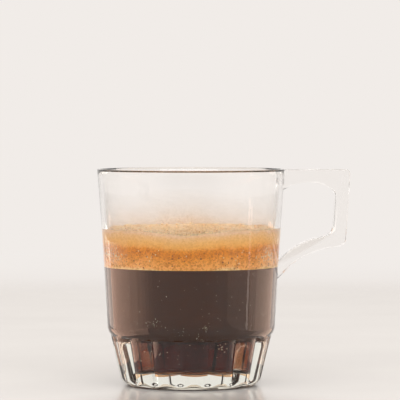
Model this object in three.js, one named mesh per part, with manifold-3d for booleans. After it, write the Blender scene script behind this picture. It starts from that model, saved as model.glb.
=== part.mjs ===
// Espresso with crema in a pressed glass cup with a plate handle.
// Millimetres, +Z up. The cup stands on the XY plane, its axis is Z and its handle points along +X.
import * as THREE from 'three';
import { mergeVertices } from 'three/addons/utils/BufferGeometryUtils.js';
import Module from 'manifold-3d';

const wasm = await Module();
wasm.setup();

// Driving dimensions of the cup's plain upper wall
const CUP_HEIGHT = 65;
const RIM_RADIUS = 28.3;
const SHOULDER_HEIGHT = 18.4;
const SHOULDER_RADIUS = 25.2;
const SHOULDER_ROUND = 1.9;
const WALL_DIP = 0.18;
const RIM_THICKNESS = 1.5;
const WALL_THICKNESS = 1.85;

// Driving dimensions of the lobed lower part
const LOBE_COUNT = 16;
const LOBE_TOP_HEIGHT = 15.4;
const LOBE_TOP_RADIUS = 24.25;
const LOBE_LEAN = 0.232;
const HEEL_ROUND = 3.2;
const VALLEY_DEPTH_TOP = 1.5;
const VALLEY_DEPTH_HEEL = 1.0;
const VALLEY_TOP_FADE = 0.8;
const VALLEY_HEEL_START = 0.6;
const VALLEY_HEEL_FULL = 2.2;

// Driving dimensions of the hollow: a plain bowl above a ledge, and a narrow well below it
const FLOOR_HEIGHT = 5;
const FLOOR_ROUND = 1;
const WELL_FLOOR_RADIUS = 13.9;
const WELL_TOP_RADIUS = 16;
const LEDGE_FOOT = 13.6;
const LEDGE_TOP = 20.8;

// Driving dimensions of the handle, a plate in the XZ plane
const HANDLE_REACH = 47.9;
const HANDLE_THICKNESS = 6.5;
const HANDLE_EDGE = 0.9;
const HANDLE_SINK = 1.3;
const HANDLE_TOP = 64.9;
const HANDLE_OUTER_LEAN = 0.0625;
const HANDLE_UPRIGHT = 4;
const HANDLE_LOWER_BAR = 3.3;
const HANDLE_CHIN_HEIGHT = 42;
const HANDLE_CHIN_REACH = 43.4;
const HANDLE_ROOT_HEIGHT = 31;
const HANDLE_ROOT_DEPTH = 5.3;
const HANDLE_BEND_REACH = 34;
const HANDLE_BEND_HEIGHT = 40.1;
const HANDLE_CORNER = 1.6;
const GAP_ARCH_HEIGHT = 60.6;
const GAP_ARCH_ENDS = 58.2;
const GAP_LOWER_SHARES = [0.8, 0.2];

// Driving dimensions of the drink
const COFFEE_LEVEL = 35.8;
const CREMA_LEVEL = 46.6;
const CREMA_EDGE_RISE = 0.7;
const CREMA_EDGE_WIDTH = 1.6;
const FIT_GAP = 0.3;

// Facets
const STEPS_PER_LOBE = 8;
const CUP_STEPS = LOBE_COUNT * STEPS_PER_LOBE;
const DRINK_STEPS = 64;

const { lerp, smoothstep } = THREE.MathUtils;
const point = (x, y) => new THREE.Vector2(x, y);
const LOBE_LEAN_ANGLE = Math.atan(LOBE_LEAN);

// Outer radius of the plain wall, which dips a little inside its straight line
function wallRadius(height) {
  const t = (height - SHOULDER_HEIGHT) / (CUP_HEIGHT - SHOULDER_HEIGHT);
  return lerp(SHOULDER_RADIUS, RIM_RADIUS, t) - 4 * WALL_DIP * t * (1 - t);
}

// Radius of the hollow at a height above its floor
function hollowRadius(height) {
  const t = (height - SHOULDER_HEIGHT) / (CUP_HEIGHT - SHOULDER_HEIGHT);
  const bowl = wallRadius(height) - lerp(WALL_THICKNESS, RIM_THICKNESS, t);
  const rise = (height - FLOOR_HEIGHT) / (LEDGE_FOOT - FLOOR_HEIGHT);
  const well = lerp(WELL_FLOOR_RADIUS, WELL_TOP_RADIUS, Math.min(rise, 1));
  const belowRound = Math.max(0, FLOOR_HEIGHT + FLOOR_ROUND - height);
  const corner = FLOOR_ROUND - Math.sqrt(Math.max(0, FLOOR_ROUND ** 2 - belowRound ** 2));
  return lerp(well - corner, bowl, smoothstep(height, LEDGE_FOOT, LEDGE_TOP));
}

// Evenly spaced values between two levels, both ends included
function evenly(from, to, count) {
  return Array.from({ length: count + 1 }, (_, i) => lerp(from, to, i / count));
}

function arcPoints(centre, radius, start, end, count) {
  return new THREE.EllipseCurve(centre.x, centre.y, radius, radius, start, end, start > end).getPoints(count);
}

// Side of the hollow from its floor up, drawn in by the gap that the drink keeps to the glass
function hollowSide(from, to, inset) {
  const levels = [
    ...evenly(FLOOR_HEIGHT, FLOOR_HEIGHT + FLOOR_ROUND, 3),
    ...evenly(FLOOR_HEIGHT + FLOOR_ROUND, LEDGE_FOOT, 2).slice(1),
    ...evenly(LEDGE_FOOT, LEDGE_TOP, 5).slice(1),
    ...evenly(LEDGE_TOP, CUP_HEIGHT, 4).slice(1),
  ];
  const inside = levels.filter((level) => level > from && level < to);
  return [from, ...inside, to].map((level) => point(hollowRadius(level) - inset, level));
}

// Outside of the cup from the middle of its foot to the start of the rim
function outerProfile() {
  const lobeRadius = (height) => LOBE_TOP_RADIUS - LOBE_LEAN * (LOBE_TOP_HEIGHT - height);
  const heelTop = HEEL_ROUND * (1 - Math.sin(LOBE_LEAN_ANGLE));
  const heelCentre = point(lobeRadius(heelTop) - HEEL_ROUND * Math.cos(LOBE_LEAN_ANGLE), HEEL_ROUND);
  const heel = arcPoints(heelCentre, HEEL_ROUND, -Math.PI / 2, -LOBE_LEAN_ANGLE, 6);
  const fadeStart = LOBE_TOP_HEIGHT - VALLEY_TOP_FADE;
  const lobe = [...evenly(heelTop, fadeStart, 4).slice(1), ...evenly(fadeStart, LOBE_TOP_HEIGHT, 3).slice(1)];
  const shoulder = new THREE.QuadraticBezierCurve(
    point(LOBE_TOP_RADIUS, LOBE_TOP_HEIGHT),
    point(wallRadius(SHOULDER_HEIGHT - SHOULDER_ROUND), SHOULDER_HEIGHT - SHOULDER_ROUND),
    point(SHOULDER_RADIUS, SHOULDER_HEIGHT),
  ).getPoints(3);
  const wall = evenly(SHOULDER_HEIGHT, CUP_HEIGHT - RIM_THICKNESS / 2, 4);
  return [
    point(0, 0),
    ...heel,
    ...lobe.map((height) => point(lobeRadius(height), height)),
    ...shoulder.slice(1),
    ...wall.slice(1, -1).map((height) => point(wallRadius(height), height)),
  ];
}

function rimProfile() {
  const round = RIM_THICKNESS / 2;
  const height = CUP_HEIGHT - round;
  return arcPoints(point(wallRadius(height) - round, height), round, 0, Math.PI, 6);
}

// Depth of the valleys between the lobes at a height
function valleyDepth(height) {
  const depth = lerp(VALLEY_DEPTH_HEEL, VALLEY_DEPTH_TOP, height / LOBE_TOP_HEIGHT);
  const heelFade = smoothstep(height, VALLEY_HEEL_START, VALLEY_HEEL_FULL);
  const topFade = 1 - smoothstep(height, LOBE_TOP_HEIGHT - VALLEY_TOP_FADE, LOBE_TOP_HEIGHT);
  return depth * heelFade * topFade;
}

// Turned body with +Z up
function turned(profile, steps) {
  return new THREE.LatheGeometry(profile, steps).rotateX(Math.PI / 2);
}

// Presses the valleys into the outer rows of the turned cup, with one lobe facing the handle
function pressLobes(geometry, rows, outerRows) {
  const position = geometry.getAttribute('position');
  for (let i = 0; i < position.count; i += 1) {
    const x = position.getX(i);
    const y = position.getY(i);
    const radius = Math.hypot(x, y);
    if (i % rows >= outerRows || radius === 0) continue;
    const turn = (Math.atan2(y, x) / (2 * Math.PI)) * LOBE_COUNT;
    const across = 2 * (turn - Math.round(turn));
    const scale = 1 - (valleyDepth(position.getZ(i)) * across ** 2) / radius;
    position.setXY(i, x * scale, y * scale);
  }
}

// C-shaped outline of the handle, with both ends sunk in the cup's wall
function handleShape() {
  const sunk = (height) => wallRadius(height) - HANDLE_SINK;
  const outerReach = (height) => HANDLE_REACH - HANDLE_OUTER_LEAN * (HANDLE_TOP - height);
  const innerReach = (height) => outerReach(height) - HANDLE_UPRIGHT;
  const lower = new THREE.QuadraticBezierCurve(
    point(HANDLE_CHIN_REACH, HANDLE_CHIN_HEIGHT),
    point(HANDLE_BEND_REACH, HANDLE_BEND_HEIGHT),
    point(sunk(HANDLE_ROOT_HEIGHT), HANDLE_ROOT_HEIGHT),
  );
  const insideOfLower = evenly(...GAP_LOWER_SHARES, 4).map((t) => {
    const along = lower.getTangent(t);
    return lower.getPoint(t).add(point(along.y, -along.x).multiplyScalar(HANDLE_LOWER_BAR));
  });
  const innerRoot = HANDLE_ROOT_HEIGHT + HANDLE_ROOT_DEPTH;
  const gapCorner = HANDLE_CHIN_HEIGHT + HANDLE_LOWER_BAR;
  const gapMiddle = (sunk(GAP_ARCH_ENDS) + innerReach(GAP_ARCH_ENDS)) / 2;
  const shape = new THREE.Shape();
  shape.moveTo(sunk(HANDLE_TOP), HANDLE_TOP);
  shape.lineTo(HANDLE_REACH - HANDLE_CORNER, HANDLE_TOP);
  shape.quadraticCurveTo(HANDLE_REACH, HANDLE_TOP, HANDLE_REACH, HANDLE_TOP - HANDLE_CORNER);
  shape.lineTo(outerReach(HANDLE_CHIN_HEIGHT + HANDLE_CORNER), HANDLE_CHIN_HEIGHT + HANDLE_CORNER);
  shape.quadraticCurveTo(
    outerReach(HANDLE_CHIN_HEIGHT), HANDLE_CHIN_HEIGHT, HANDLE_CHIN_REACH, HANDLE_CHIN_HEIGHT,
  );
  lower.getPoints(8).slice(1).forEach((p) => shape.lineTo(p.x, p.y));
  shape.lineTo(sunk(innerRoot), innerRoot);
  insideOfLower.forEach((p) => shape.lineTo(p.x, p.y));
  shape.quadraticCurveTo(
    innerReach(gapCorner), gapCorner, innerReach(gapCorner), gapCorner + 2 * HANDLE_CORNER,
  );
  shape.lineTo(innerReach(GAP_ARCH_ENDS), GAP_ARCH_ENDS);
  shape.quadraticCurveTo(
    gapMiddle, 2 * GAP_ARCH_HEIGHT - GAP_ARCH_ENDS, sunk(GAP_ARCH_ENDS), GAP_ARCH_ENDS,
  );
  shape.closePath();
  return shape;
}

function handleGeometry() {
  const straight = HANDLE_THICKNESS - 2 * HANDLE_EDGE;
  const plate = new THREE.ExtrudeGeometry(handleShape(), {
    depth: straight,
    curveSegments: 5,
    bevelThickness: HANDLE_EDGE,
    bevelSize: HANDLE_EDGE,
    bevelOffset: -HANDLE_EDGE,
    bevelSegments: 2,
  });
  return plate.translate(0, 0, -straight / 2).rotateX(Math.PI / 2);
}

// Closed mesh as a solid that can be joined
function toSolid(geometry) {
  geometry.deleteAttribute('normal');
  geometry.deleteAttribute('uv');
  const merged = mergeVertices(geometry, 1e-4);
  const corners = Array.from(merged.index.array);
  const triVerts = [];
  for (let i = 0; i < corners.length; i += 3) {
    const [a, b, c] = corners.slice(i, i + 3);
    if (a !== b && b !== c && c !== a) triVerts.push(a, b, c);
  }
  return new wasm.Manifold(new wasm.Mesh({
    numProp: 3,
    vertProperties: new Float32Array(merged.getAttribute('position').array),
    triVerts: new Uint32Array(triVerts),
  }));
}

function fromSolid(solid) {
  const mesh = solid.getMesh();
  const geometry = new THREE.BufferGeometry();
  geometry.setAttribute('position', new THREE.BufferAttribute(mesh.vertProperties, 3));
  geometry.setIndex(new THREE.BufferAttribute(mesh.triVerts, 1));
  geometry.computeVertexNormals();
  return geometry;
}

function glassCup() {
  const outer = outerProfile();
  const hollow = hollowSide(FLOOR_HEIGHT, CUP_HEIGHT - RIM_THICKNESS / 2, 0).reverse().slice(1);
  const profile = [...outer, ...rimProfile(), ...hollow, point(0, FLOOR_HEIGHT)];
  const body = turned(profile, CUP_STEPS);
  pressLobes(body, profile.length, outer.length);
  return fromSolid(toSolid(body).add(toSolid(handleGeometry())));
}

function coffeeBody() {
  const side = hollowSide(FLOOR_HEIGHT + FIT_GAP, COFFEE_LEVEL - FIT_GAP / 2, FIT_GAP);
  return turned([point(0, side[0].y), ...side, point(0, side.at(-1).y)], DRINK_STEPS);
}

// Crema layer, a little higher where it clings to the glass
function cremaBody() {
  const edge = CREMA_LEVEL + CREMA_EDGE_RISE;
  const side = hollowSide(COFFEE_LEVEL + FIT_GAP / 2, edge, FIT_GAP);
  const rim = side.at(-1).x;
  const edgeCurve = new THREE.QuadraticBezierCurve(
    point(rim - 0.25 * CREMA_EDGE_WIDTH, edge),
    point(rim - 0.4 * CREMA_EDGE_WIDTH, CREMA_LEVEL),
    point(rim - CREMA_EDGE_WIDTH, CREMA_LEVEL),
  ).getPoints(3);
  return turned([point(0, side[0].y), ...side, ...edgeCurve, point(0, CREMA_LEVEL)], DRINK_STEPS);
}

function piece(name, geometry, material) {
  const mesh = new THREE.Mesh(geometry, new THREE.MeshStandardMaterial(material));
  mesh.name = name;
  return mesh;
}

const espresso = new THREE.Group();
espresso.add(
  piece('glass_cup', glassCup(), {
    color: '#eef2ee', roughness: 0.03, metalness: 0, transparent: true, opacity: 0.35,
  }),
  piece('coffee', coffeeBody(), { color: '#3a2519', roughness: 0.1, metalness: 0 }),
  piece('crema', cremaBody(), { color: '#d18a45', roughness: 0.6, metalness: 0 }),
);

export default espresso;
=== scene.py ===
# Espresso with crema in a pressed glass cup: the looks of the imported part, laid out as an add-on.
import math
import random

import bmesh
import bpy
from bpy.props import FloatProperty, FloatVectorProperty, IntProperty, PointerProperty
from mathutils import Matrix, Vector, noise


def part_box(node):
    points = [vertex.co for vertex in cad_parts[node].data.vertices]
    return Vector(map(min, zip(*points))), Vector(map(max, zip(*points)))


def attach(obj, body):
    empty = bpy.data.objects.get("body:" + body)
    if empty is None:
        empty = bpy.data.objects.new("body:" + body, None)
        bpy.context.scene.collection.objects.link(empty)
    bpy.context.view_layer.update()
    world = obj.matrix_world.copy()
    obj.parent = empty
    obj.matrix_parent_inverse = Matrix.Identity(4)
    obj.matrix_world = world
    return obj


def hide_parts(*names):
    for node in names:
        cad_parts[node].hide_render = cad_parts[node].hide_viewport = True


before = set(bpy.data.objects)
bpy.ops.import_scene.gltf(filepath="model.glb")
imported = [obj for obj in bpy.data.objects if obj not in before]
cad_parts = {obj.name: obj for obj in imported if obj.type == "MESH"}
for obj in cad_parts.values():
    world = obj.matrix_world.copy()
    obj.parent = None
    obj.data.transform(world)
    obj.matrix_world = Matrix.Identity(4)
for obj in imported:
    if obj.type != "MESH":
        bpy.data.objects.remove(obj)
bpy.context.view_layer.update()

bl_info = {
    "name": "Espresso in a Glass Cup",
    "version": (1, 0, 0),
    "blender": (4, 5, 0),
    "location": "3D View > Sidebar > Espresso",
    "description": "Models an espresso with crema in a lobed glass cup with a plate handle",
    "category": "Add Mesh",
}

MM = 0.001
FOOT_LEVEL, RIM_LEVEL = (corner[2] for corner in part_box("glass_cup"))
HANDLE_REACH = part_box("glass_cup")[1][0]
COFFEE_LEVEL = 0.5 * (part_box("coffee")[1][2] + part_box("crema")[0][2])
CREMA_EDGE_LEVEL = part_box("crema")[1][2]
GLASS_IOR = 1.52
COFFEE_IOR = 1.34
WATER_IOR = 1.33

# Tolerances in metres: to compare places, and to merge doubles after a spin and after a join
SLACK = 0.01 * MM
SPIN_MERGE = 1e-7
JOIN_MERGE = 1e-6

# Waves in the foam's top: share of the relief and size of each
FOAM_WAVES = ((1.0, 9 * MM), (0.7, 2.4 * MM), (0.5, 1.1 * MM))

# Radii in millimetres from which bubbles and specks are drawn
TOP_BUBBLES = (0.14, 0.18, 0.22, 0.3, 0.42)
CONTACT_BUBBLES = (0.1, 0.13, 0.17, 0.22)
WALL_BUBBLES = (0.12, 0.16, 0.2, 0.26)
LONE_SPECKS = (0.05, 0.06, 0.07, 0.09)
CLUSTER_SPECKS = (0.06, 0.075, 0.09)

# Groups of bubbles round the glass: middle and spread in degrees, count
CONTACT_GROUPS = ((-93, 14, 90), (-90, 180, 110))
WALL_GROUPS = ((-30, 6, 70), (-156, 7, 60), (-90, 180, 60))

# Heights in millimetres: range over the foam's edge; lowest, highest and commonest over the coffee
CONTACT_RISE = (-0.1, 0.4)
WALL_RISE = (1.5, 7.0, 4.0)

# Clusters of specks: middle and spread in degrees, height over the ledge's foot in millimetres
SPECK_CLUSTERS = (
    (-119.5, 4, 5.0), (-101.5, 5, 2.2), (-78.5, 5.5, 1.9), (-60, 1.5, -0.9),
    (-82, 1, 4.6), (40, 5, 2.2), (95, 5, 2.2), (150, 5, 2.2),
)
SPECKS_IN_CLUSTER = 16
CLUSTER_HEIGHT_SPREAD = 0.9

# How far what sits on the wall reaches into the glass, and how flat bubbles and specks are against it
WALL_SINK = 0.16 * MM
BUBBLE_FLATNESS = 0.5
SPECK_FLATNESS = 0.6

# Camera, set back from the cup's axis as the photograph was taken
CAMERA_DISTANCE = 857 * MM
CAMERA_HEIGHT = 83.05 * MM
CAMERA_SIDE = 2.65 * MM
CAMERA_PITCH = math.radians(1.83)
CAMERA_TURN = math.radians(-2.5)
CAMERA_LENS_MM = 256.5
CAMERA_SENSOR_MM = 36

# Softboxes: name, place and size in metres, brightness
SOFTBOXES = (
    ("front_softbox", (0.0, -1.1, 0.8), (2.2, 1.0), 2.7),
    ("top_softbox", (0.0, 0.0, 0.95), (0.7, 0.7), 0.5),
)

# Reflector cards beside the cup, far and near. Each next card of a row stands further out by a small share.
FAR_CARDS_ASIDE = 100 * MM
NEAR_CARDS_ASIDE = 36 * MM
CARD_SETBACK = 0.01
WARM_LEFT, WARM_RIGHT, PALE_RIGHT, GREENISH = "#ffc8a8", "#ffcfb0", "#ffd6bc", "#f2fff4"

# Each card: start and end from front to back, lower and upper edge, all in millimetres, brightness, colour
LEFT_CARDS = (
    (-84, 75, 0, 25, 0.2, WARM_LEFT),
    (-70, 75, 0, 25, 0.3, WARM_LEFT),
    (-59, 75, 0, 25, 0.35, WARM_LEFT),
    (-49, 75, 0, 25, 0.3, WARM_LEFT),
    (-35, 75, 0, 25, 0.5, WARM_LEFT),
    (-12, 75, 0, 25, 0.4, WARM_LEFT),
    (75, 150, 0, 25, 0.8, "#ffe0cc"),
    (75, 420, 0, 25, 0.35, "#ffeee2"),
    (77, 91, 24, 32, 2.0, "#ffeede"),
    (-12, 150, 25, 32, 0.3, GREENISH),
    (10, 150, 25, 32, 0.3, GREENISH),
    (30, 150, 25, 32, 0.3, GREENISH),
)
RIGHT_CARDS = (
    (-107, 75, 0, 25, 0.33, PALE_RIGHT),
    (-30, 75, 0, 25, 0.7, WARM_RIGHT),
    (-10, 75, 0, 25, 0.55, WARM_RIGHT),
    (75, 150, 0, 25, 0.6, "#ffe6d6"),
    (75, 420, 0, 25, 0.22, "#fff0e6"),
    (-12, 150, 25, 32, 0.3, GREENISH),
    (10, 150, 25, 32, 0.25, GREENISH),
    (30, 150, 25, 32, 0.2, GREENISH),
    (-40, -34, 0, 41, 2.0, "#ffe2d0"),
)
LEFT_NEAR_CARDS = (
    (-32, 14, 1, 14.3, 1.15, WARM_LEFT),
    (-18, 14, 1, 14.3, 0.9, WARM_LEFT),
)
RIGHT_NEAR_CARDS = (
    (-32, 14, 1, 14.3, 0.25, PALE_RIGHT),
    (-14, 14, 1, 14.3, 0.7, WARM_RIGHT),
    (-5, 14, 1, 14.3, 0.55, WARM_RIGHT),
)


def linear(hex_value):
    """Linear red, green and blue of an sRGB hex colour."""
    channels = [int(hex_value[i:i + 2], 16) / 255 for i in (1, 3, 5)]
    return tuple(c / 12.92 if c <= 0.04045 else ((c + 0.055) / 1.055) ** 2.4 for c in channels)


def length(name, description, millimetres):
    """Property that holds a length."""
    return FloatProperty(name=name, description=description, default=millimetres * MM,
                         unit="LENGTH", subtype="DISTANCE", precision=5)


def colour(name, description, hex_value):
    """Property that holds a colour."""
    return FloatVectorProperty(name=name, description=description, default=linear(hex_value),
                               subtype="COLOR", size=3, min=0, max=1)


class CupSizes(bpy.types.PropertyGroup):
    """Sizes of the glass cup."""
    height: length("Height", "Foot to rim", (RIM_LEVEL - FOOT_LEVEL) / MM)
    rim_radius: length("Rim radius", "Outer radius at the rim", 28.3)
    rim_thickness: length("Rim thickness", "Glass thickness at the rim", 1.5)
    rim_slant: length("Rim slant", "Height of the slant on the rim's inner edge", 0.5)
    wall_thickness: length("Wall thickness", "Glass thickness at the shoulder", 1.85)
    wall_dip: length("Wall dip", "How far the plain wall dips inside its straight line", 0.18)
    shoulder_height: length("Shoulder height", "Lower end of the plain wall", 18.4)
    shoulder_radius: length("Shoulder radius", "Outer radius at the shoulder", 25.2)
    shoulder_corner: length("Shoulder corner", "Height of the rounded corner under the plain wall", 16.5)
    shoulder_round: length("Shoulder rounding", "Where the rounding of that corner starts", 1.1)
    lobe_count: IntProperty(name="Lobes", description="Upright lobes round the lower part", default=16)
    lobe_top: length("Lobe top", "Height of the lobes' upper ends", 15.4)
    lobe_radius: length("Lobe radius", "Crest radius at the lobes' upper ends", 24.25)
    lobe_lean: FloatProperty(name="Lobe lean", description="Crest radius gained for each unit of height",
                             default=0.232)
    heel_round: length("Heel rounding", "Where the rounding of the heel starts", 2.55)
    valley_top: length("Valley depth at the top", "Depth between lobes at their upper ends", 1.5)
    valley_heel: length("Valley depth at the heel", "Depth between lobes at the heel", 1.0)
    valley_fade: length("Valley fade", "Height over which a valley runs out under the shoulder", 0.8)
    floor: length("Floor", "Height of the hollow's floor", 5.0)
    floor_round: length("Floor rounding", "Rounding between well and floor", 1.5)
    well_floor_radius: length("Well radius at the floor", "Radius of the well at its floor", 13.9)
    well_radius: length("Well radius", "Radius of the well under the ledge", 16.0)
    ledge_foot: length("Ledge foot", "Height where the ledge meets the well", 14.4)
    ledge_top: length("Ledge top", "Height where the ledge meets the bowl", 20.0)
    ledge_round: length("Ledge rounding", "Where the roundings of the ledge start", 3.0)


class HandleSizes(bpy.types.PropertyGroup):
    """Sizes of the plate handle."""
    top: length("Top", "Height of the handle's top edge", 64.9)
    reach: length("Reach", "Distance of the upper corner from the cup's axis", HANDLE_REACH / MM)
    thickness: length("Thickness", "Thickness of the plate", 6.5)
    edge_round: length("Edge rounding", "Rounding of the plate's edges", 0.25)
    sink: length("Sink", "How far the ends reach into the cup's wall", 1.2)
    lean: FloatProperty(name="Lean", description="Reach lost for each unit of height", default=0.0625)
    upright: length("Upright", "Width of the outer upright", 4.0)
    lower_bar: length("Lower bar", "Width of the slanting lower bar", 3.3)
    chin: length("Chin", "Height of the lower outer corner", 42.0)
    bend_reach: length("Bend reach", "Distance of the lower bar's bend from the axis", 34.0)
    bend_height: length("Bend height", "Height of the lower bar's bend", 40.1)
    root: length("Root", "Height where the lower bar meets the cup", 31.0)
    root_depth: length("Root depth", "Height of the lower bar's end on the cup", 5.3)
    arch_ends: length("Arch ends", "Height of the ends of the finger gap's arch", 58.2)
    arch_top: length("Arch top", "Height of the finger gap's arch", 60.6)


class DrinkSizes(bpy.types.PropertyGroup):
    """Levels and bubble sizes of the drink."""
    coffee_level: length("Coffee level", "Height of the line under the crema", COFFEE_LEVEL / MM)
    crema_edge: length("Crema edge", "Height of the crema at the glass", CREMA_EDGE_LEVEL / MM)
    crema_rise: length("Crema rise", "How much higher the crema is at the glass", 0.7)
    crema_rise_width: length("Rise width", "Width of the raised edge of the crema", 1.6)
    wall_reach: length("Wall reach", "How far the drink reaches into the glass, so that no gap shows", 0.06)
    foam_relief: length("Foam relief", "Height of the waves in the foam's top", 0.25)
    sag_depth: length("Sag depth", "How far the foam sags at the front of the glass", 1.3)
    sag_width: length("Sag width", "Half width of the sag at the front", 8.0)
    sag_middle: length("Sag middle", "Place of the sag's middle along X", -2.7)
    film_top: length("Film top", "Upper end of the film of steam on the glass", 58.0)
    bubble_count: IntProperty(name="Bubbles", description="Bubbles on the crema's top", default=420)
    speck_count: IntProperty(name="Specks", description="Lone specks of air on the wall in the coffee",
                             default=300)
    seed: IntProperty(name="Seed", description="Seed of every random draw", default=11)


class DrinkColours(bpy.types.PropertyGroup):
    """Colours of glass and drink."""
    glass: colour("Glass", "Tint of the clear glass", "#fefdfc")
    glass_base: colour("Glass base", "Tint of the glass where it is thick", "#f8faf3")
    coffee: colour("Coffee", "Brown of the coffee's own haze", "#411f08")
    coffee_depth: colour("Coffee depth", "Tint of light that passes through the coffee", "#d9a600")


def smooth_step(value, low, high):
    """Share between two values, eased at both ends."""
    share = min(1, max(0, (value - low) / (high - low)))
    return share * share * (3 - 2 * share)


# Mesh helpers

def outline(bm, corners, closed=False):
    """Wire in the XZ plane through (across, height, rounding, segments) corners."""
    verts = [bm.verts.new((x, 0, z)) for x, z, _, _ in corners]
    pairs = list(zip(verts, verts[1:] + verts[:1])) if closed else list(zip(verts, verts[1:]))
    for pair in pairs:
        bm.edges.new(pair)
    for vert, (_, _, rounding, segments) in zip(verts, corners):
        if rounding:
            bmesh.ops.bevel(bm, geom=[vert], offset=rounding, offset_type="OFFSET", segments=segments,
                            profile=0.5, affect="VERTICES", material=-1)


def cut_long_edges(bm, edges, longest):
    """Cut each edge into equal parts no longer than given."""
    for edge in list(edges):
        cuts = math.ceil(edge.calc_length() / longest) - 1
        if cuts > 0:
            bmesh.ops.subdivide_edges(bm, edges=[edge], cuts=cuts)


def turn(bm, steps):
    """Spin the wire once round the Z axis into a closed body."""
    bmesh.ops.spin(bm, geom=bm.verts[:] + bm.edges[:], cent=(0, 0, 0), axis=(0, 0, 1),
                   angle=2 * math.pi, steps=steps, use_merge=True)
    bmesh.ops.remove_doubles(bm, verts=bm.verts[:], dist=SPIN_MERGE)
    bmesh.ops.recalc_face_normals(bm, faces=bm.faces[:])


def scale_out(vert, radius):
    """Move a vertex straight out from or in to the Z axis."""
    share = radius / vert.co.xy.length
    vert.co.x *= share
    vert.co.y *= share


def around(away, angle, height):
    """Place at a distance from the Z axis, an angle round it and a height."""
    return Vector((away * math.cos(angle), away * math.sin(angle), height))


def mesh_object(name, bm, sharp_angle=math.radians(50)):
    """Object at the origin from a bmesh, shaded smooth with its sharp creases kept."""
    mesh = bpy.data.meshes.new(name)
    bm.to_mesh(mesh)
    bm.free()
    mesh.polygons.foreach_set("use_smooth", [True] * len(mesh.polygons))
    mesh.set_sharp_from_angle(angle=sharp_angle)
    obj = bpy.data.objects.new(name, mesh)
    bpy.context.scene.collection.objects.link(obj)
    return obj


def dress(obj, material, node=None):
    """Give a piece its finish, fix it to the part's body and hide the node it stands in for."""
    obj.data.materials.append(material)
    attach(obj, "root")
    if node:
        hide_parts(node)


# Shapes of the cup

def wall_share(cup, height):
    """How far up the plain wall a height is."""
    return (height - cup.shoulder_height) / (cup.height - cup.shoulder_height)


def dip_at(cup, height):
    """How far the plain wall dips inside its straight line at a height."""
    share = wall_share(cup, height)
    return 4 * cup.wall_dip * share * (1 - share)


def wall_radius(cup, height):
    """Outer radius of the plain wall."""
    straight = cup.shoulder_radius + (cup.rim_radius - cup.shoulder_radius) * wall_share(cup, height)
    return straight - dip_at(cup, height)


def bowl_radius(cup, height):
    """Inner radius of the bowl above the ledge."""
    thinner = (cup.wall_thickness - cup.rim_thickness) * wall_share(cup, height)
    return wall_radius(cup, height) - cup.wall_thickness + thinner


def hollow_corners(cup, reach=0.0):
    """Corners of the hollow from the bowl's foot to the middle of its floor."""
    return [
        (bowl_radius(cup, cup.ledge_top) + reach, cup.ledge_top - reach, cup.ledge_round, 6),
        (cup.well_radius + reach, cup.ledge_foot - reach, cup.ledge_round, 6),
        (cup.well_floor_radius + reach, cup.floor - reach, cup.floor_round, 5),
        (0, cup.floor - reach, 0, 0),
    ]


def dip_wall(cup, verts):
    """Curve the straight upper wall to its slight dip."""
    for vert in verts:
        if cup.shoulder_height < vert.co.z < cup.height and vert.co.xy.length > cup.well_radius:
            scale_out(vert, vert.co.xy.length - dip_at(cup, vert.co.z))


def press_lobes(cup, verts):
    """Press the valleys between the lobes into the outer skin, with one lobe towards the handle."""
    heel_start, heel_full = 0.6 * MM, 2.2 * MM
    skin = 0.5 * (cup.well_radius + cup.lobe_radius)
    for vert in verts:
        height, radius = vert.co.z, vert.co.xy.length
        if height >= cup.lobe_top or radius < skin:
            continue
        depth = cup.valley_heel + (cup.valley_top - cup.valley_heel) * height / cup.lobe_top
        depth *= smooth_step(height, heel_start, heel_full)
        depth *= 1 - smooth_step(height, cup.lobe_top - cup.valley_fade, cup.lobe_top)
        lobe = math.atan2(vert.co.y, vert.co.x) / math.tau * cup.lobe_count
        across = 2 * (lobe - round(lobe))
        scale_out(vert, radius - depth * across ** 2)


def cup_body(cup):
    """Turned cup with its lobes, heel, rim and hollow."""
    def crest(height):
        return cup.lobe_radius - cup.lobe_lean * (cup.lobe_top - height)

    def fades(edge):
        outside = edge.verts[0].co.x > 1.5 * cup.well_radius
        return outside and all(fade_start - SLACK < v.co.z < cup.lobe_top + SLACK for v in edge.verts)

    slant_cut, fade_cut, plain_cut = 0.08 * MM, 0.12 * MM, 1.4 * MM
    steps_per_lobe = 16
    fade_start = cup.lobe_top - cup.valley_fade
    rim_round = 0.14 * cup.rim_thickness
    slant_round = 0.4 * rim_round
    # At these angles off upright the slant mirrors the crema, which draws the brown line on the rim
    lower_angle, upper_angle = math.radians(48.3), math.radians(49.0)
    slant_foot = cup.height - cup.rim_slant
    slant_middle = cup.height - 0.5 * cup.rim_slant
    foot_radius = bowl_radius(cup, slant_foot) + dip_at(cup, slant_foot)
    middle_radius = foot_radius + 0.5 * cup.rim_slant * math.tan(lower_angle)
    top_radius = middle_radius + 0.5 * cup.rim_slant * math.tan(upper_angle)
    bm = bmesh.new()
    outline(bm, [
        (0, 0, 0, 0),
        (crest(0), 0, cup.heel_round, 10),
        (crest(fade_start), fade_start, 0, 0),
        (cup.lobe_radius, cup.lobe_top, 0, 0),
        (wall_radius(cup, cup.shoulder_corner), cup.shoulder_corner, cup.shoulder_round, 8),
        (cup.rim_radius, cup.height, rim_round, 6),
        (top_radius, cup.height, slant_round, 4),
        (middle_radius, slant_middle, 0, 0),
        (foot_radius, slant_foot, slant_round, 4),
        *hollow_corners(cup),
    ])
    slant = [e for e in bm.edges if all(v.co.z > slant_foot - 0.5 * rim_round for v in e.verts)]
    cut_long_edges(bm, slant, slant_cut)
    cut_long_edges(bm, [e for e in bm.edges if fades(e)], fade_cut)
    cut_long_edges(bm, bm.edges[:], plain_cut)
    turn(bm, cup.lobe_count * steps_per_lobe)
    dip_wall(cup, bm.verts)
    press_lobes(cup, bm.verts)
    return bm


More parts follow.
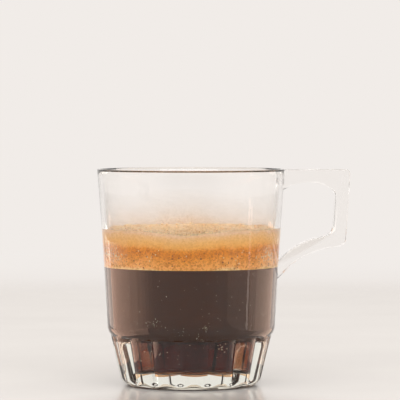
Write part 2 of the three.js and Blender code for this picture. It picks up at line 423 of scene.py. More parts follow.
def handle_plate(cup, handle):
    """C-shaped plate with rounded edges, whose ends sink into the cup's wall."""
    def sunk(height):
        return wall_radius(cup, height) - handle.sink

    def outer(height):
        return handle.reach - handle.lean * (handle.top - height)

    corner_round, chin_round, gap_corner_round, arch_end_round = 1.6 * MM, 1.9 * MM, 2.6 * MM, 1.2 * MM
    bend_round, inner_bend_round, arch_round = 7 * MM, 5 * MM, 7 * MM
    chin_reach = outer(handle.chin)
    gap_floor = handle.chin + handle.lower_bar
    arch_middle = 0.5 * (sunk(handle.arch_ends) + outer(handle.arch_ends) - handle.upright)
    inner_bend_reach = handle.bend_reach - 0.52 * handle.lower_bar
    inner_bend_height = handle.bend_height + 0.9 * handle.lower_bar
    inner_root = handle.root + handle.root_depth
    bm = bmesh.new()
    outline(bm, [
        (sunk(handle.top), handle.top, 0, 0),
        (handle.reach, handle.top, corner_round, 4),
        (chin_reach, handle.chin, chin_round, 4),
        (handle.bend_reach, handle.bend_height, bend_round, 10),
        (sunk(handle.root), handle.root, 0, 0),
        (sunk(inner_root), inner_root, 0, 0),
        (inner_bend_reach, inner_bend_height, inner_bend_round, 8),
        (outer(gap_floor) - handle.upright, gap_floor, gap_corner_round, 6),
        (outer(handle.arch_ends) - handle.upright, handle.arch_ends, arch_end_round, 3),
        (arch_middle, 2 * handle.arch_top - handle.arch_ends, arch_round, 12),
        (sunk(handle.arch_ends), handle.arch_ends, 0, 0),
    ], closed=True)
    bmesh.ops.translate(bm, verts=bm.verts[:], vec=(0, -0.5 * handle.thickness, 0))
    face = bmesh.ops.contextual_create(bm, geom=bm.edges[:])["faces"]
    grown = bmesh.ops.extrude_face_region(bm, geom=face)["geom"]
    bmesh.ops.translate(bm, verts=[g for g in grown if isinstance(g, bmesh.types.BMVert)],
                        vec=(0, handle.thickness, 0))
    bmesh.ops.recalc_face_normals(bm, faces=bm.faces[:])
    brims = [e for e in bm.edges if abs(e.verts[0].co.y - e.verts[1].co.y) < SLACK]
    bmesh.ops.bevel(bm, geom=brims, offset=handle.edge_round, offset_type="OFFSET", segments=5,
                    profile=0.5, affect="EDGES", material=-1)
    return bm


def joined(name, body, addition):
    """One mesh object from two closed bodies."""
    modifier = body.modifiers.new("join", "BOOLEAN")
    modifier.operation = "UNION"
    modifier.solver = "EXACT"
    modifier.object = addition
    graph = bpy.context.evaluated_depsgraph_get()
    bm = bmesh.new()
    bm.from_object(body, graph)
    for part in (body, addition):
        bpy.data.objects.remove(part)
    bmesh.ops.remove_doubles(bm, verts=bm.verts[:], dist=JOIN_MERGE)
    return mesh_object(name, bm)


# Materials

def node(tree, kind, inputs, stops=(), **settings):
    """Add a node; inputs gives values or the sockets to link, stops the colours of a ramp."""
    made = tree.nodes.new(kind)
    for key, value in settings.items():
        setattr(made, key, value)
    for place, _ in stops[2:]:
        made.color_ramp.elements.new(place)
    for element, (place, shade) in zip(made.color_ramp.elements if stops else (), stops):
        element.position = place
        element.color = (*shade, 1)
    for key, value in inputs.items():
        if isinstance(value, bpy.types.NodeSocket):
            tree.links.new(value, made.inputs[key])
        else:
            made.inputs[key].default_value = value
    return made


def new_material(name):
    """Empty material: its node tree and its output node."""
    material = bpy.data.materials.new(name)
    material.use_nodes = True
    material.node_tree.nodes.clear()
    return material, material.node_tree, node(material.node_tree, "ShaderNodeOutputMaterial", {})


def clear_pressed_glass(name, colours, ior):
    """Soda-lime glass pressed in a mould: clear and faintly wavy, faintly green in its thick base."""
    wave_size = 9 * MM
    thick_below, thin_above = 16 * MM, 20 * MM
    material, tree, output = new_material(name)
    place = node(tree, "ShaderNodeTexCoord", {})
    wave = node(tree, "ShaderNodeTexNoise", {
        "Vector": place.outputs["Object"], "Scale": 1 / wave_size, "Detail": 0})
    bump = node(tree, "ShaderNodeBump", {
        "Height": wave.outputs["Fac"], "Strength": 0.1, "Distance": 0.1 * MM})
    height = node(tree, "ShaderNodeSeparateXYZ", {"Vector": place.outputs["Object"]})
    thick = node(tree, "ShaderNodeMapRange", {
        "Value": height.outputs["Z"], "From Min": thick_below, "From Max": thin_above,
        "To Min": 1.0, "To Max": 0.0})
    tint = node(tree, "ShaderNodeMix", {
        0: thick.outputs["Result"], 6: (*colours.glass, 1), 7: (*colours.glass_base, 1)}, data_type="RGBA")
    surface = node(tree, "ShaderNodeBsdfPrincipled", {
        "Base Color": tint.outputs[2], "Roughness": 0.0, "IOR": ior, "Transmission Weight": 1.0,
        "Normal": bump.outputs["Normal"],
    })
    tree.links.new(surface.outputs["BSDF"], output.inputs["Surface"])
    return material


def espresso_liquid(cup, colours):
    """Strong coffee: nearly black in the mass, with a brown haze of oils, red-brown and clear in the well.

    The glass under the coffee already bends the light at their common face, so the coffee's skin doesn't.
    """
    cloud_size, clear_fade = 14 * MM, 1.2 * MM
    absorption_per_metre = 400.0
    material, tree, output = new_material("espresso liquid")
    place = node(tree, "ShaderNodeTexCoord", {})
    cloud = node(tree, "ShaderNodeTexNoise", {
        "Vector": place.outputs["Object"], "Scale": 1 / cloud_size, "Detail": 3})
    haze = node(tree, "ShaderNodeValToRGB", {"Fac": cloud.outputs["Fac"]}, stops=[
        (0.3, tuple(0.85 * c for c in colours.coffee)), (0.7, tuple(1.15 * c for c in colours.coffee))])
    level = node(tree, "ShaderNodeSeparateXYZ", {"Vector": place.outputs["Object"]})
    clear = node(tree, "ShaderNodeMapRange", {
        "Value": level.outputs["Z"], "From Min": cup.ledge_foot, "From Max": cup.ledge_foot + clear_fade,
        "To Min": 1.0, "To Max": 0.0})
    mostly = node(tree, "ShaderNodeMapRange", {
        "Value": clear.outputs["Result"], "From Min": 0.9, "From Max": 1.0})
    through = node(tree, "ShaderNodeMix", {
        0: mostly.outputs["Result"], 6: haze.outputs["Color"], 7: (1, 1, 1, 1)}, data_type="RGBA")
    surface = node(tree, "ShaderNodeBsdfPrincipled", {
        "Base Color": through.outputs[2], "Roughness": 0.0, "IOR": 1.0,
        "Transmission Weight": clear.outputs["Result"],
    })
    depth = node(tree, "ShaderNodeVolumeAbsorption", {
        "Color": (*colours.coffee_depth, 1), "Density": absorption_per_metre})
    tree.links.new(surface.outputs["BSDF"], output.inputs["Surface"])
    tree.links.new(depth.outputs["Volume"], output.inputs["Volume"])
    return material


def crema_foam(drink):
    """Espresso foam: fine and pale towards the top, wetter, darker and full of small bubbles further down.
    The paler upper foam is partly painted light from above, and faces turned up carry a painted top light
    and sheen.
    """
    swirl_size, bubble_gap, pore_gap = 8 * MM, 0.9 * MM, 0.45 * MM
    dip_inside, dip_outside, dip_depth = 2 * MM, 14 * MM, 0.9 * MM
    wander_depth, lowest, layer_depth = 3.2 * MM, 1.6 * MM, 11 * MM
    material, tree, output = new_material("crema foam")
    place = node(tree, "ShaderNodeTexCoord", {})
    height = node(tree, "ShaderNodeSeparateXYZ", {"Vector": place.outputs["Object"]})
    swirl = node(tree, "ShaderNodeTexNoise", {
        "Vector": place.outputs["Object"], "Scale": 1 / swirl_size, "Detail": 3, "Distortion": 0.6})
    middle = node(tree, "ShaderNodeMath", {0: height.outputs["X"], 1: drink.sag_middle},
                  operation="SUBTRACT")
    aside = node(tree, "ShaderNodeMath", {0: middle.outputs[0]}, operation="ABSOLUTE")
    dip = node(tree, "ShaderNodeMapRange", {
        "Value": aside.outputs[0], "From Min": dip_inside, "From Max": dip_outside,
        "To Min": dip_depth, "To Max": 0.0,
    }, interpolation_type="SMOOTHSTEP")
    lowered = node(tree, "ShaderNodeMath", {0: height.outputs["Z"], 1: dip.outputs["Result"]},
                   operation="ADD")
    wander = node(tree, "ShaderNodeMath", {0: swirl.outputs["Fac"], 1: wander_depth, 2: lowered.outputs[0]},
                  operation="MULTIPLY_ADD")
    low = drink.coffee_level + lowest
    share = node(tree, "ShaderNodeMapRange", {
        "Value": wander.outputs[0], "From Min": low, "From Max": low + layer_depth})
    # Partly painted light: the layers are darkest about halfway up the crema and paler above it, partly
    # drier foam and partly painted light falling from above.
    layers = node(tree, "ShaderNodeValToRGB", {"Fac": share.outputs["Result"]}, stops=[
        (0.0, linear("#fdcf86")), (0.06, linear("#fdb85c")), (0.2, linear("#f7ad4c")),
        (0.34, linear("#ee9e32")), (0.5, linear("#e28c14")), (0.59, linear("#ee9c2a")),
        (0.67, linear("#fdbe5e")), (0.79, linear("#fdc978")), (0.93, linear("#fdd295")),
        (1.0, linear("#fddab4"))])
    bubbles = node(tree, "ShaderNodeTexVoronoi", {
        "Vector": place.outputs["Object"], "Scale": 1 / bubble_gap})
    kept = node(tree, "ShaderNodeSeparateColor", {"Color": bubbles.outputs["Color"]})
    radius = node(tree, "ShaderNodeMapRange", {
        "Value": kept.outputs["Red"], "From Min": 0.35, "From Max": 1.0, "To Min": 0.05, "To Max": 0.38})
    inside = node(tree, "ShaderNodeMath", {0: radius.outputs["Result"], 1: bubbles.outputs["Distance"]},
                  operation="SUBTRACT")
    dot = node(tree, "ShaderNodeMapRange", {"Value": inside.outputs[0], "From Max": 0.1})
    wet = node(tree, "ShaderNodeMapRange", {
        "Value": share.outputs["Result"], "From Min": 0.62, "From Max": 0.45, "To Max": 0.9})
    depth = node(tree, "ShaderNodeMath", {0: dot.outputs["Result"], 1: wet.outputs["Result"]},
                 operation="MULTIPLY")
    dotted = node(tree, "ShaderNodeMix", {
        6: layers.outputs["Color"], 7: (*linear("#8c4200"), 1), 0: depth.outputs[0]}, data_type="RGBA")
    # Painted top light: faces turned up get pale crust colours, partly the drier foam on top and partly
    # painted light and sheen on the top surface.
    facing = node(tree, "ShaderNodeNewGeometry", {})
    upward = node(tree, "ShaderNodeSeparateXYZ", {"Vector": facing.outputs["Normal"]})
    top = node(tree, "ShaderNodeMapRange", {
        "Value": upward.outputs["Z"], "From Min": 0.35, "From Max": 0.7})
    pale_crust_and_top_light = node(tree, "ShaderNodeValToRGB", {"Fac": swirl.outputs["Fac"]}, stops=[
        (0.3, linear("#dfb888")), (0.5, linear("#e8ca9f")), (0.7, linear("#f0d9bb"))])
    toned = node(tree, "ShaderNodeMix", {
        6: dotted.outputs[2], 7: pale_crust_and_top_light.outputs["Color"], 0: top.outputs["Result"]}, data_type="RGBA")
    pores = node(tree, "ShaderNodeTexVoronoi", {"Vector": place.outputs["Object"], "Scale": 1 / pore_gap})
    cell = node(tree, "ShaderNodeSeparateColor", {"Color": pores.outputs["Color"]})
    grain = node(tree, "ShaderNodeMix", {
        0: cell.outputs["Red"], 6: (0.74, 0.62, 0.38, 1), 7: (1.2, 1.3, 1.6, 1)}, data_type="RGBA")
    grainy = node(tree, "ShaderNodeMapRange", {
        "Value": share.outputs["Result"], "From Min": 0.7, "From Max": 0.5, "To Min": 0.3})
    foam = node(tree, "ShaderNodeMix", {
        6: toned.outputs[2], 7: grain.outputs[2], 0: grainy.outputs["Result"],
    }, data_type="RGBA", blend_type="MULTIPLY")
    bump = node(tree, "ShaderNodeBump", {
        "Height": pores.outputs["Distance"], "Strength": 0.3, "Distance": 0.12 * MM})
    surface = node(tree, "ShaderNodeBsdfPrincipled", {
        "Base Color": foam.outputs[2], "Roughness": 0.5, "IOR": COFFEE_IOR, "Specular IOR Level": 0.2,
        "Normal": bump.outputs["Normal"],
    })
    tree.links.new(surface.outputs["BSDF"], output.inputs["Surface"])
    return material


def bubble_film(shade):
    """Thin wet skin of a foam bubble: pale, softly glossy, lighter or darker from one to the next."""
    spread = 1.5 * MM
    material, tree, output = new_material("bubble film")
    place = node(tree, "ShaderNodeTexCoord", {})
    vary = node(tree, "ShaderNodeTexNoise", {
        "Vector": place.outputs["Object"], "Scale": 1 / spread, "Detail": 1})
    tone = node(tree, "ShaderNodeValToRGB", {"Fac": vary.outputs["Fac"]}, stops=[
        (0.3, tuple(0.75 * c for c in shade)), (0.7, tuple(min(1, 1.15 * c) for c in shade))])
    surface = node(tree, "ShaderNodeBsdfPrincipled", {
        "Base Color": tone.outputs["Color"], "Roughness": 0.3, "IOR": WATER_IOR, "Specular IOR Level": 0.2,
        "Subsurface Weight": 0.2, "Subsurface Radius": (1.0, 0.6, 0.35), "Subsurface Scale": 0.3 * MM,
    })
    tree.links.new(surface.outputs["BSDF"], output.inputs["Surface"])
    return material


def steam_film(drink):
    """Condensed steam: fine droplets, dense at the crema, thinning out upwards. Its warm colour at the
    crema is painted glow, the crema's light scattered by the droplets, with a little tint of coffee oil.
    """
    droplet_gap, streak_size, streak_depth, shift = 0.6 * MM, 7 * MM, 4 * MM, 2 * MM
    thinning = ((0.0, 0.3), (0.09, 0.25), (0.19, 0.19), (0.355, 0.13), (0.52, 0.09), (0.61, 0.065),
                (0.89, 0.02), (1.0, 0.0))
    material, tree, output = new_material("steam film with painted glow")
    place = node(tree, "ShaderNodeTexCoord", {})
    height = node(tree, "ShaderNodeSeparateXYZ", {"Vector": place.outputs["Object"]})
    streak = node(tree, "ShaderNodeTexNoise", {
        "Vector": place.outputs["Object"], "Scale": 1 / streak_size, "Detail": 3})
    ragged = node(tree, "ShaderNodeMath", {
        0: streak.outputs["Fac"], 1: -streak_depth, 2: height.outputs["Z"]}, operation="MULTIPLY_ADD")
    share = node(tree, "ShaderNodeMapRange", {
        "Value": ragged.outputs[0], "From Min": drink.crema_edge - shift,
        "From Max": drink.film_top - shift})
    cover = node(tree, "ShaderNodeValToRGB", {"Fac": share.outputs["Result"]},
                 stops=[(step, (value,) * 3) for step, value in thinning])
    # Denser towards the middle of X, so the painted glow is strongest there.
    aside = node(tree, "ShaderNodeMath", {0: height.outputs["X"]}, operation="ABSOLUTE")
    front = node(tree, "ShaderNodeMapRange", {
        "Value": aside.outputs[0], "From Min": 3 * MM, "From Max": 20 * MM, "To Min": 0.98, "To Max": 0.5})
    cover_and_glow = node(tree, "ShaderNodeMath", {0: cover.outputs["Color"], 1: front.outputs["Result"]},
                 operation="MULTIPLY")
    drops = node(tree, "ShaderNodeTexVoronoi", {
        "Vector": place.outputs["Object"], "Scale": 1 / droplet_gap})
    grain = node(tree, "ShaderNodeMapRange", {
        "Value": drops.outputs["Distance"], "From Min": 0.05, "From Max": 0.5,
        "To Min": 1.7, "To Max": 0.85})
    alpha = node(tree, "ShaderNodeMath", {0: cover_and_glow.outputs[0], 1: grain.outputs["Result"]},
                 operation="MULTIPLY")
    # Painted glow: warm tan at the film's foot, paling upwards, stands in for the crema's light scattered
    # by the droplets.
    tone = node(tree, "ShaderNodeValToRGB", {"Fac": share.outputs["Result"]}, stops=[
        (0.1, linear("#e4b26a")), (0.5, linear("#d8bc9a"))])
    surface = node(tree, "ShaderNodeBsdfPrincipled", {
        "Base Color": tone.outputs["Color"], "Roughness": 0.6, "IOR": WATER_IOR, "Specular IOR Level": 0.1,
        "Alpha": alpha.outputs[0],
    })
    tree.links.new(surface.outputs["BSDF"], output.inputs["Surface"])
    return material


def studio_paper():
    """Smooth pale table paper with a soft painted shadow before the cup, that becomes an evenly lit
    backdrop.
    """
    fleck_size, glow_start, glow_full = 60 * MM, 400 * MM, 620 * MM
    shade_middle, shade_width, shade_depth = 52 * MM, 30 * MM, 24 * MM
    material, tree, output = new_material("studio paper")
    place = node(tree, "ShaderNodeTexCoord", {})
    back = node(tree, "ShaderNodeSeparateXYZ", {"Vector": place.outputs["Object"]})
    fleck = node(tree, "ShaderNodeTexNoise", {"Vector": place.outputs["Object"], "Scale": 1 / fleck_size})
    tone = node(tree, "ShaderNodeValToRGB", {"Fac": fleck.outputs["Fac"]}, stops=[
        (0.3, linear("#d3cfcb")), (0.7, linear("#d8d4d0"))])
    # Painted shadow: the paper darkens towards #6e6054 in a soft oval before the cup, where the cup's
    # shadow would fall.
    before = node(tree, "ShaderNodeVectorMath", {0: place.outputs["Object"], 1: (0, shade_middle, 0)},
                  operation="ADD")
    oval = node(tree, "ShaderNodeVectorMath", {
        0: before.outputs["Vector"], 1: (1 / shade_width, 1 / shade_depth, 0)}, operation="MULTIPLY")
    away = node(tree, "ShaderNodeVectorMath", {0: oval.outputs["Vector"]}, operation="LENGTH")
    shade = node(tree, "ShaderNodeMapRange", {
        "Value": away.outputs["Value"], "From Min": 0.3, "From Max": 1.6, "To Min": 0.38, "To Max": 0.0,
    }, interpolation_type="SMOOTHSTEP")
    shaded = node(tree, "ShaderNodeMix", {
        0: shade.outputs["Result"], 6: tone.outputs["Color"], 7: (*linear("#6e6054"), 1)}, data_type="RGBA")
    table = node(tree, "ShaderNodeBsdfPrincipled", {"Base Color": shaded.outputs[2], "Roughness": 0.2})
    glow = node(tree, "ShaderNodeEmission", {"Color": (*linear("#f1ece8"), 1)})
    rise = node(tree, "ShaderNodeMapRange", {
        "Value": back.outputs["Y"], "From Min": glow_start, "From Max": glow_full,
    }, interpolation_type="SMOOTHSTEP")
    surface = node(tree, "ShaderNodeMixShader", {
        "Fac": rise.outputs["Result"], 1: table.outputs["BSDF"], 2: glow.outputs["Emission"]})
    tree.links.new(surface.outputs["Shader"], output.inputs["Surface"])
    return material


# Operators

class EspressoStep:
    """Shared by the operators: the sizes and colours kept on the scene."""
    bl_options = {"REGISTER", "UNDO"}

    def sizes(self, context):
        """Sizes of the cup, its handle and the drink, and the colours."""
        scene = context.scene
        return scene.espresso_cup, scene.espresso_handle, scene.espresso_drink, scene.espresso_colours


class ESPRESSO_OT_glass_cup(EspressoStep, bpy.types.Operator):
    """Model the glass cup with its handle"""
    bl_idname = "espresso.glass_cup"
    bl_label = "Glass Cup"

    def execute(self, context):
        cup, handle, drink, colours = self.sizes(context)
        body = mesh_object("cup_body", cup_body(cup))
        plate = mesh_object("handle_plate", handle_plate(cup, handle))
        glass = joined("glass_cup_clear", body, plate)
        clear = clear_pressed_glass("clear pressed glass", colours, GLASS_IOR)
        dress(glass, clear, "glass_cup")
        wetted = clear_pressed_glass("clear pressed glass under coffee", colours, GLASS_IOR / COFFEE_IOR)
        glass.data.materials.append(wetted)
        coffee_radius = bowl_radius(cup, drink.coffee_level)
        for face in glass.data.polygons:
            out = face.center.xy.normalized()
            inside = face.center.xy.length < coffee_radius and face.normal.xy.dot(out) < 0.1
            if inside and face.normal.z > -0.5 and face.center.z < drink.coffee_level:
                face.material_index = 1
        return {"FINISHED"}


class ESPRESSO_OT_coffee(EspressoStep, bpy.types.Operator):
    """Model the coffee, reaching just into the glass"""
    bl_idname = "espresso.coffee"
    bl_label = "Coffee"

    def execute(self, context):
        cup, _, drink, colours = self.sizes(context)
        longest_edge, steps_per_lobe = 2 * MM, 12
        reach = drink.wall_reach
        edge = bowl_radius(cup, drink.coffee_level) + dip_at(cup, drink.coffee_level)
        bm = bmesh.new()
        outline(bm, [
            (0, drink.coffee_level, 0, 0),
            (edge + reach, drink.coffee_level, 0, 0),
            *hollow_corners(cup, reach),
        ])
        cut_long_edges(bm, bm.edges[:], longest_edge)
        turn(bm, cup.lobe_count * steps_per_lobe)
        dip_wall(cup, bm.verts)
        dress(mesh_object("coffee_liquid", bm), espresso_liquid(cup, colours), "coffee")
        return {"FINISHED"}


def foam_height(cup, drink, x, y):
    """Height of the crema's top: raised at the glass, gently uneven, and sagging at the front."""
    level = drink.crema_edge - drink.crema_rise
    edge = bowl_radius(cup, drink.crema_edge)
    inward = edge - math.hypot(x, y)
    rise = drink.crema_rise * (1 - smooth_step(inward, 0, drink.crema_rise_width))
    place = Vector((x, y, 0))
    swell = sum(share * noise.noise(place / size) for share, size in FOAM_WAVES)
    across = math.exp(-((x - drink.sag_middle) / drink.sag_width) ** 2)
    forward = smooth_step(-y, 0.55 * edge, edge)
    return level + rise + drink.foam_relief * swell - drink.sag_depth * across * forward


class ESPRESSO_OT_crema(EspressoStep, bpy.types.Operator):
    """Model the crema with its uneven top, reaching just into the glass"""
    bl_idname = "espresso.crema"
    bl_label = "Crema"

    def execute(self, context):
        cup, _, drink, _ = self.sizes(context)
        longest_edge, steps_per_lobe, skin_depth = 0.6 * MM, 14, 3 * MM
        reach = 1.4 * drink.wall_reach
        level = drink.crema_edge - drink.crema_rise
        foot = drink.coffee_level - drink.wall_reach
        edge = bowl_radius(cup, level) + reach
        bm = bmesh.new()
        outline(bm, [
            (0, foot, 0, 0),
            (bowl_radius(cup, foot) + reach, foot, 0, 0),
            (edge, level, 0, 0),
            (0, level, 0, 0),
        ])
        cut_long_edges(bm, bm.edges[:], longest_edge)
        turn(bm, cup.lobe_count * steps_per_lobe)
        skin_foot = level - skin_depth
        skin = [v for v in bm.verts if v.co.z > skin_foot]
        for vert in skin:
            share = (vert.co.z - skin_foot) / skin_depth
            vert.co.z += share * (foam_height(cup, drink, vert.co.x, vert.co.y) - level)
        dress(mesh_object("crema_foam", bm), crema_foam(drink), "crema")
        return {"FINISHED"}


def scatter(spots):
    """Small round bubbles, one for each (place, radius, flatness along the line out from the axis)."""
    ball = bmesh.new()
    bmesh.ops.create_uvsphere(ball, u_segments=8, v_segments=6, radius=1)
    pattern = bpy.data.meshes.new("bubble")
    ball.to_mesh(pattern)
    ball.free()
    bm = bmesh.new()
    for place, radius, flat in spots:
        turned = Matrix.Rotation(math.atan2(place.y, place.x), 4, "Z")
        sized = Matrix.Diagonal((flat * radius, radius, radius, 1))
        shaped = pattern.copy()
        shaped.transform(Matrix.Translation(place) @ turned @ sized)
        bm.from_mesh(shaped)
        bpy.data.meshes.remove(shaped)
    bpy.data.meshes.remove(pattern)
    return bm


class ESPRESSO_OT_bubbles(EspressoStep, bpy.types.Operator):
    """Scatter bubbles over the crema, along its edge and against the glass"""
    bl_idname = "espresso.bubbles"
    bl_label = "Bubbles"

    def execute(self, context):
        cup, _, drink, _ = self.sizes(context)
        draw = random.Random(drink.seed)
        edge = bowl_radius(cup, drink.crema_edge)
        spots = []
        for _ in range(drink.bubble_count):
            radius = draw.choice(TOP_BUBBLES) * MM
            away = (edge - radius) * (1 - 0.9 * draw.random() ** 3)
            angle = draw.uniform(0, math.tau)
            x, y = away * math.cos(angle), away * math.sin(angle)
            spots.append((Vector((x, y, foam_height(cup, drink, x, y) + 0.1 * radius)), radius, 1))
        dress(mesh_object("crema_top_bubbles", scatter(spots)), bubble_film(linear("#e9c39a")))
        spots = []
        for middle, spread, count in CONTACT_GROUPS:
            for _ in range(count):
                angle = math.radians(draw.gauss(middle, spread))
                radius = draw.choice(CONTACT_BUBBLES) * MM
                x, y = edge * math.cos(angle), edge * math.sin(angle)
                height = foam_height(cup, drink, x, y) + draw.uniform(*CONTACT_RISE) * MM
                away = bowl_radius(cup, height) - 0.4 * radius
                spots.append((around(away, angle, height), radius, BUBBLE_FLATNESS))
        for middle, spread, count in WALL_GROUPS:
            for _ in range(count):
                angle = math.radians(draw.gauss(middle, spread))
                height = drink.coffee_level + draw.triangular(*WALL_RISE) * MM
                radius = draw.choice(WALL_BUBBLES) * MM
                away = bowl_radius(cup, height) + WALL_SINK - BUBBLE_FLATNESS * radius
                spots.append((around(away, angle, height), radius, BUBBLE_FLATNESS))
        dress(mesh_object("crema_wall_bubbles", scatter(spots)), bubble_film(linear("#ffe2b4")))
        return {"FINISHED"}


class ESPRESSO_OT_specks(EspressoStep, bpy.types.Operator):
    """Scatter specks of air and foam on the glass below the coffee's level"""
    bl_idname = "espresso.specks"
    bl_label = "Specks"

    def execute(self, context):
        cup, _, drink, _ = self.sizes(context)
        floor_gap, top_gap = 2 * MM, 1 * MM
        draw = random.Random(drink.seed + 1)
        spots = []
        for _ in range(drink.speck_count):
            angle = draw.uniform(0, math.tau)
            height = draw.uniform(cup.floor + floor_gap, drink.coffee_level - top_gap)
            radius = draw.choice(LONE_SPECKS) * MM
            spots.append((self.on_wall(cup, angle, height, radius), radius, SPECK_FLATNESS))
        for middle, spread, rise in SPECK_CLUSTERS:
            for _ in range(SPECKS_IN_CLUSTER):
                angle = math.radians(draw.gauss(middle, spread))
                height = cup.ledge_foot + (rise + draw.gauss(0, CLUSTER_HEIGHT_SPREAD)) * MM
                radius = draw.choice(CLUSTER_SPECKS) * MM
                spots.append((self.on_wall(cup, angle, height, radius), radius, SPECK_FLATNESS))
        dress(mesh_object("coffee_wall_specks", scatter(spots)), bubble_film(linear("#ffe6c4")))
        return {"FINISHED"}

    def on_wall(self, cup, angle, height, radius):
        """Place of a speck on the hollow's wall, sunk a little into the glass."""
        up_ledge = min(1, max(0, (height - cup.ledge_foot) / (cup.ledge_top - cup.ledge_foot)))
        up_well = (min(height, cup.ledge_foot) - cup.floor) / (cup.ledge_foot - cup.floor)
        well = cup.well_floor_radius + (cup.well_radius - cup.well_floor_radius) * up_well
        wide = bowl_radius(cup, max(height, cup.ledge_top))
        away = well + (wide - well) * up_ledge + WALL_SINK - SPECK_FLATNESS * radius
        return around(away, angle, height)


class ESPRESSO_OT_film(EspressoStep, bpy.types.Operator):
    """Model the film of condensed steam on the glass above the crema"""
    bl_idname = "espresso.film"
    bl_label = "Steam Film"

    def execute(self, context):
        cup, _, drink, _ = self.sizes(context)
        gap, thickness, overlap, steps_per_lobe = 0.03 * MM, 0.06 * MM, 1.5 * MM, 12
        low, high = drink.crema_edge - overlap, drink.film_top
        bm = bmesh.new()
        outline(bm, [
            (bowl_radius(cup, low) - gap, low, 0, 0),
            (bowl_radius(cup, high) - gap, high, 0, 0),
            (bowl_radius(cup, high) - gap - thickness, high, 0, 0),
            (bowl_radius(cup, low) - gap - thickness, low, 0, 0),
        ], closed=True)
        turn(bm, cup.lobe_count * steps_per_lobe)
        dress(mesh_object("steam_film", bm), steam_film(drink))
        return {"FINISHED"}


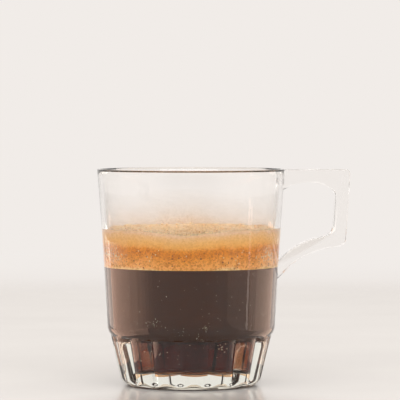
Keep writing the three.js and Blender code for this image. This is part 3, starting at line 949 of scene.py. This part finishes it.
class ESPRESSO_OT_stage(EspressoStep, bpy.types.Operator):
    """Set the pale floor, the soft studio light and the camera"""
    bl_idname = "espresso.stage"
    bl_label = "Stage"

    def execute(self, context):
        scene = context.scene
        self.paper()
        for softbox in SOFTBOXES:
            self.light(*softbox)
        glass = bpy.data.collections.new("lit_by_cards")
        glass.objects.link(bpy.data.objects["glass_cup_clear"])
        rows = ((-FAR_CARDS_ASIDE, LEFT_CARDS), (FAR_CARDS_ASIDE, RIGHT_CARDS),
                (-NEAR_CARDS_ASIDE, LEFT_NEAR_CARDS), (NEAR_CARDS_ASIDE, RIGHT_NEAR_CARDS))
        for aside, cards in rows:
            for place, (start, end, low, high, brightness, tone) in enumerate(cards):
                side = aside * (1 + CARD_SETBACK * place)
                self.card(side, (start, end), (low, high), brightness, tone, glass)
        scene.world = self.studio()
        scene.view_settings.view_transform = "Standard"
        scene.cycles.max_bounces = 32
        scene.cycles.transmission_bounces = 32
        scene.cycles.diffuse_bounces = 8
        self.camera(scene)
        return {"FINISHED"}

    def paper(self):
        """Table paper just under the cup's foot that curves up into the backdrop; sizes in metres."""
        front, back, top, curve, width = -1.5, 0.9, 1.2, 0.35, 4.0
        below = -0.05 * MM
        bm = bmesh.new()
        outline(bm, [(front, below, 0, 0), (back, below, curve, 12), (back, top, 0, 0)])
        quarter = Matrix.Rotation(math.pi / 2, 3, "Z")
        bmesh.ops.rotate(bm, verts=bm.verts[:], cent=(0, 0, 0), matrix=quarter)
        grown = bmesh.ops.extrude_edge_only(bm, edges=bm.edges[:])["geom"]
        far_side = [g for g in grown if isinstance(g, bmesh.types.BMVert)]
        bmesh.ops.translate(bm, verts=far_side, vec=(width, 0, 0))
        bmesh.ops.translate(bm, verts=bm.verts[:], vec=(-0.5 * width, 0, 0))
        bmesh.ops.recalc_face_normals(bm, faces=bm.faces[:])
        sweep = mesh_object("studio_paper", bm)
        sweep.data.materials.append(studio_paper())

    def light(self, name, place, size, brightness):
        """Softbox of even brightness, aimed at the cup."""
        aim = Vector((0, 0, 30 * MM))
        data = bpy.data.lights.new(name, "AREA")
        data.shape = "RECTANGLE"
        data.size, data.size_y = size
        data.energy = math.pi * size[0] * size[1] * brightness
        lamp = bpy.data.objects.new(name, data)
        bpy.context.scene.collection.objects.link(lamp)
        lamp.location = place
        lamp.rotation_euler = (aim - lamp.location).to_track_quat("-Z", "Y").to_euler()
        return lamp

    def card(self, side, across, upright, brightness, tone, receivers):
        """Upright reflector card beside the cup that shows in the glass alone."""
        size = ((across[1] - across[0]) * MM, (upright[1] - upright[0]) * MM)
        place = (side, 0.5 * sum(across) * MM, 0.5 * sum(upright) * MM)
        lamp = self.light("reflector_card", place, size, brightness)
        lamp.rotation_euler = Vector((-side, 0, 0)).to_track_quat("-Z", "Y").to_euler()
        lamp.data.color = linear(tone)
        lamp.light_linking.receiver_collection = receivers
        lamp.visible_camera = False

    def studio(self):
        """Soft surrounding light, brighter at both sides than in front."""
        world = bpy.data.worlds.new("studio")
        world.use_nodes = True
        tree = world.node_tree
        tree.nodes.clear()
        way = node(tree, "ShaderNodeTexCoord", {})
        parts = node(tree, "ShaderNodeSeparateXYZ", {"Vector": way.outputs["Generated"]})
        aside = node(tree, "ShaderNodeMath", {0: parts.outputs["X"]}, operation="ABSOLUTE")
        level = node(tree, "ShaderNodeMapRange", {
            "Value": aside.outputs[0], "From Min": 0.35, "From Max": 0.9, "To Min": 0.7, "To Max": 1.25,
        }, interpolation_type="SMOOTHSTEP")
        glow = node(tree, "ShaderNodeBackground", {
            "Color": (*linear("#f6f1ec"), 1), "Strength": level.outputs["Result"]})
        node(tree, "ShaderNodeOutputWorld", {"Surface": glow.outputs["Background"]})
        return world

    def camera(self, scene):
        """Long lens, set a little above the rim and tilted slightly down."""
        data = bpy.data.cameras.new("camera")
        data.sensor_width = CAMERA_SENSOR_MM
        data.lens = CAMERA_LENS_MM
        data.clip_start = 0.01
        camera = bpy.data.objects.new("camera", data)
        scene.collection.objects.link(camera)
        ahead = Vector((-math.sin(CAMERA_TURN), math.cos(CAMERA_TURN), 0))
        side = Vector((math.cos(CAMERA_TURN), math.sin(CAMERA_TURN), 0))
        camera.location = CAMERA_SIDE * side - CAMERA_DISTANCE * ahead + Vector((0, 0, CAMERA_HEIGHT))
        sight = math.cos(CAMERA_PITCH) * ahead - Vector((0, 0, math.sin(CAMERA_PITCH)))
        camera.rotation_euler = sight.to_track_quat("-Z", "Y").to_euler()
        scene.camera = camera


class ESPRESSO_PT_panel(bpy.types.Panel):
    """Lists the steps that build the espresso"""
    bl_idname = "ESPRESSO_PT_panel"
    bl_label = "Espresso"
    bl_space_type = "VIEW_3D"
    bl_region_type = "UI"
    bl_category = "Espresso"

    def draw(self, context):
        for step in STEPS:
            self.layout.operator(step.bl_idname)


STEPS = (ESPRESSO_OT_glass_cup, ESPRESSO_OT_coffee, ESPRESSO_OT_crema, ESPRESSO_OT_bubbles,
         ESPRESSO_OT_specks, ESPRESSO_OT_film, ESPRESSO_OT_stage)
GROUPS = {"espresso_cup": CupSizes, "espresso_handle": HandleSizes, "espresso_drink": DrinkSizes,
          "espresso_colours": DrinkColours}


def register():
    for group in GROUPS.values():
        bpy.utils.register_class(group)
    for name, group in GROUPS.items():
        setattr(bpy.types.Scene, name, PointerProperty(type=group))
    for item in (*STEPS, ESPRESSO_PT_panel):
        bpy.utils.register_class(item)


def unregister():
    for item in (ESPRESSO_PT_panel, *reversed(STEPS)):
        bpy.utils.unregister_class(item)
    for name, group in GROUPS.items():
        delattr(bpy.types.Scene, name)
        bpy.utils.unregister_class(group)


def main():
    register()
    for step in STEPS:
        family, name = step.bl_idname.split(".")
        getattr(getattr(bpy.ops, family), name)()


if __name__ == "__main__":
    main()
